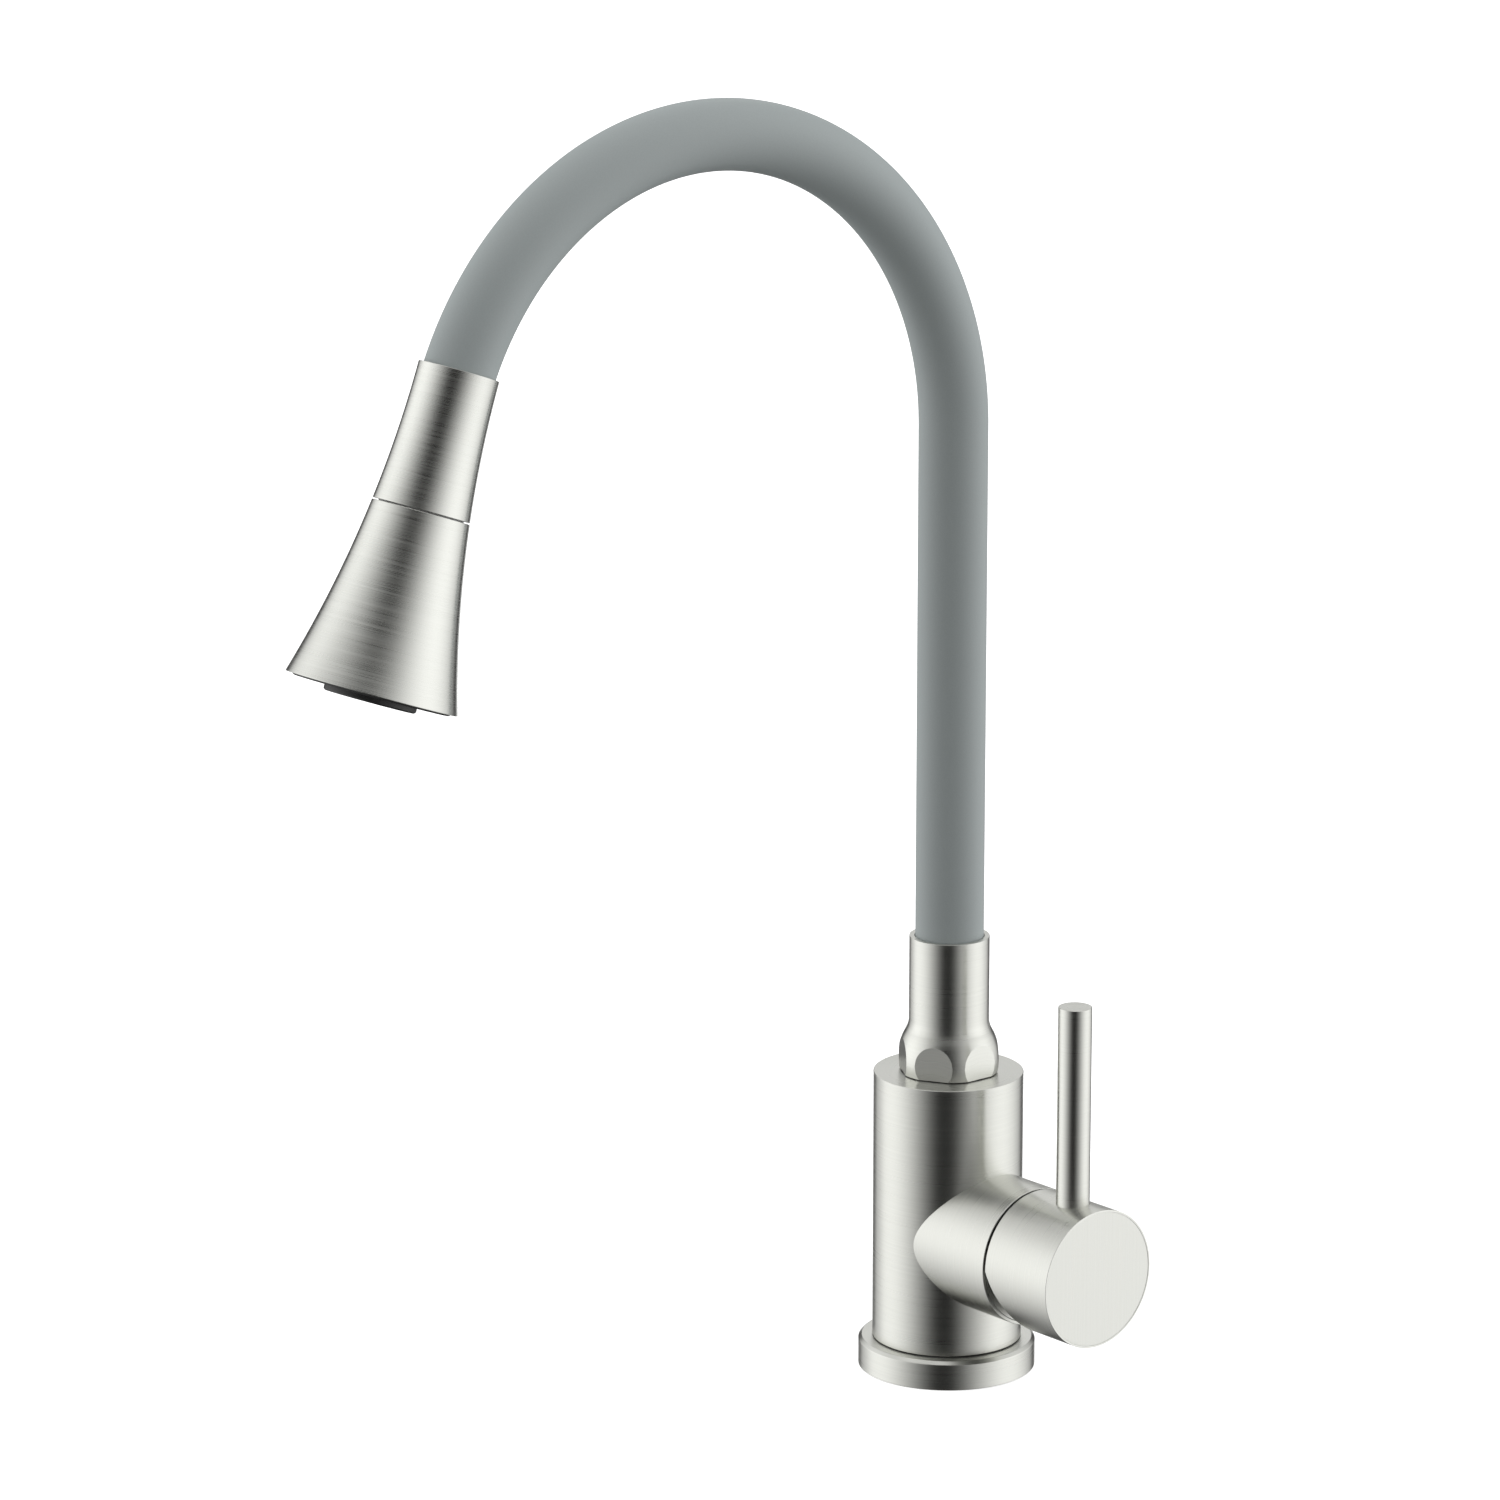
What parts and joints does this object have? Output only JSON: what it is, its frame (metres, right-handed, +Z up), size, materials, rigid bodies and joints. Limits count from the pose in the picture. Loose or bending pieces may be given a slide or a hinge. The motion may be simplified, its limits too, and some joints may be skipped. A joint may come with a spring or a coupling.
{
  "type": "pull down kitchen faucet",
  "caption": "Brushed kitchen faucet with a side lever on a round body, a flexible grey silicone gooseneck and a flared spray head.",
  "frame": {"origin": "centre of the stud hole's mouth, on the deck plane, on the body's axis", "axes": "+Z up; -Y the way the spout reaches; +X along the handle's axis, towards the lever"},
  "size_m": [0.0997, 0.2791, 0.4189],
  "materials": {
    "brushed_nickel": "brushed satin",
    "grey_silicone": "matte",
    "dark_plastic": "fine satin",
    "black_rubber": "matte",
    "brass": "machined",
    "plain_steel": "plain",
    "white_ceramic": "polished",
    "white_plastic": "moulded"
  },
  "bodies": {
    "base": {"base_flange": "brushed_nickel", "base_seal": "black_rubber", "body_gasket": "black_rubber", "faucet_body": "brushed_nickel", "cartridge_housing": "white_plastic", "cartridge_base": "dark_plastic", "cartridge_seals": "black_rubber", "fixed_disc": "white_ceramic", "retaining_nut": "brass", "dome_ring": "brushed_nickel", "thrust_washer": "black_rubber", "swivel_bushes": "white_plastic", "swivel_screw": "plain_steel"},
    "rotor": {"turret": "white_plastic", "pivot_pin": "plain_steel"},
    "handle": {"spindle": "plain_steel", "handle_hub": "brushed_nickel", "handle_cap": "brushed_nickel", "lever_rod": "brushed_nickel", "grub_screw": "plain_steel", "screw_plug": "brushed_nickel"},
    "discs": {"disc_carrier": "dark_plastic", "moving_disc": "white_ceramic"},
    "spout": {"ferrule": "brushed_nickel", "swivel_spigot": "brass", "spigot_o_rings": "black_rubber", "neck_foot_fitting": "brass", "neck_sleeve_foot": "grey_silicone", "neck_sleeve_flex": "grey_silicone"},
    "head": {"neck_sleeve_arc": "grey_silicone", "neck_conduit": "plain_steel", "water_tube": "white_plastic", "neck_head_fitting": "brass", "fitting_washer": "black_rubber", "head_sleeve": "brushed_nickel", "head_insert": "white_plastic", "check_seat": "white_plastic", "check_spring": "plain_steel", "check_guide": "white_plastic", "wave_washer": "plain_steel", "insert_o_ring": "black_rubber", "bell_circlip": "plain_steel"},
    "poppet": {"check_poppet": "white_plastic"},
    "bell": {"head_bell": "brushed_nickel", "diverter_core": "white_plastic", "nozzle_membrane": "grey_silicone", "spray_faceplate": "dark_plastic", "aerator_housing": "dark_plastic", "aerator_insert": "white_plastic", "aerator_screen": "plain_steel"}
  },
  "joints": [
    {"name": "spout_swivel", "type": "hinge", "parent": "base", "child": "spout", "pos_m": [0, 0, 0], "axis": [0, 0, 1], "continuous": true},
    {"name": "neck_bend", "type": "hinge", "parent": "spout", "child": "head", "pos_m": [0, 0, 0.23], "axis": [1, 0, 0], "range_deg": [-10, 25], "deforming": ["neck_sleeve_flex", "neck_conduit", "water_tube"]},
    {"name": "spray_select", "type": "hinge", "parent": "head", "child": "bell", "pos_m": [0, -0.19494, 0.34187], "axis": [0, -0.342, -0.9397], "range_deg": [0, 60]},
    {"name": "check_lift", "type": "slide", "parent": "head", "child": "poppet", "axis": [0, -0.342, -0.9397], "range_m": [0, 0.0015], "stiffness_N_per_m": 150, "springref_m": -0.003, "deforming": ["check_spring"]},
    {"name": "handle_turn", "type": "hinge", "parent": "base", "child": "rotor", "pos_m": [0.036, 0, 0.04626], "axis": [1, 0, 0], "range_deg": [-50, 50]},
    {"name": "handle_tilt", "type": "hinge", "parent": "rotor", "child": "handle", "pos_m": [0.036, 0, 0.04626], "axis": [0, 1, 0], "range_deg": [0, 25]},
    {"name": "disc_slide", "type": "slide", "parent": "rotor", "child": "discs", "axis": [0, 0, 1], "range_m": [0, 0.0034]}
  ],
  "couplings": [
    {"joint": "disc_slide", "follows": "handle_tilt", "m_per_rad": 0.00775}
  ]
}
